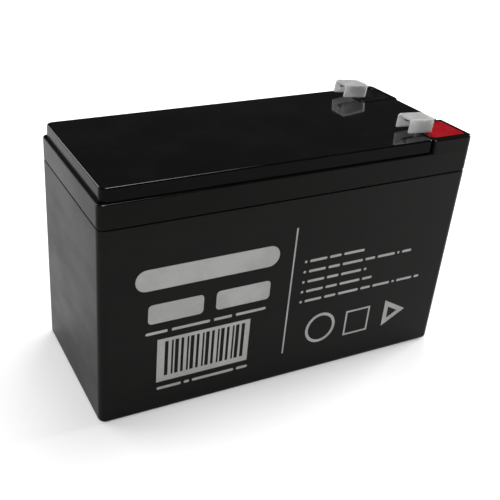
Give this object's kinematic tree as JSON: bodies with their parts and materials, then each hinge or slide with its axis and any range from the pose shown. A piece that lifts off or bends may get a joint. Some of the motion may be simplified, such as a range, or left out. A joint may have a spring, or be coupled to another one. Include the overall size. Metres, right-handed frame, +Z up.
{
  "type": "sealed lead acid battery",
  "caption": "Oblong black sealed battery with a glossy stepped top and two capped spade terminals at one end.",
  "frame": {"origin": "middle of the underside", "axes": "+Z up, +X along the length towards the terminals, -Y the printed long side"},
  "size_m": [0.151, 0.065, 0.101],
  "materials": {
    "case_plastic": "satin black moulded plastic",
    "lid_plastic": "satin black moulded plastic",
    "cover_plastic": "polished black plastic",
    "valve_rubber": "matt black rubber",
    "positive_plate": "dark brown pasted lead plate with cast lead strap",
    "negative_plate": "grey pasted lead plate with cast lead strap",
    "glass_mat": "white felted glass fibre",
    "weld_lead": "dull fused lead",
    "tinned_tab": "bright tinned brass strip",
    "positive_epoxy": "red casting resin",
    "negative_epoxy": "black casting resin",
    "cap_plastic": "milky translucent plastic"
  },
  "bodies": {
    "root": {"container": "case_plastic", "lid": "lid_plastic", "top_cover": "cover_plastic", "vent_valve_1": "valve_rubber", "vent_valve_2": "valve_rubber", "vent_valve_3": "valve_rubber", "vent_valve_4": "valve_rubber", "vent_valve_5": "valve_rubber", "vent_valve_6": "valve_rubber", "positive_plates_1": "positive_plate", "positive_plates_2": "positive_plate", "positive_plates_3": "positive_plate", "positive_plates_4": "positive_plate", "positive_plates_5": "positive_plate", "positive_plates_6": "positive_plate", "negative_plates_1": "negative_plate", "negative_plates_2": "negative_plate", "negative_plates_3": "negative_plate", "negative_plates_4": "negative_plate", "negative_plates_5": "negative_plate", "negative_plates_6": "negative_plate", "separator_1": "glass_mat", "separator_2": "glass_mat", "separator_3": "glass_mat", "separator_4": "glass_mat", "separator_5": "glass_mat", "separator_6": "glass_mat", "cell_weld_1": "weld_lead", "cell_weld_2": "weld_lead", "cell_weld_3": "weld_lead", "cell_weld_4": "weld_lead", "cell_weld_5": "weld_lead", "positive_post_seal": "valve_rubber", "positive_terminal": "tinned_tab", "positive_epoxy": "positive_epoxy", "positive_terminal_cap": "cap_plastic", "negative_post_seal": "valve_rubber", "negative_terminal": "tinned_tab", "negative_epoxy": "negative_epoxy", "negative_terminal_cap": "cap_plastic"}
  },
  "joints": []
}
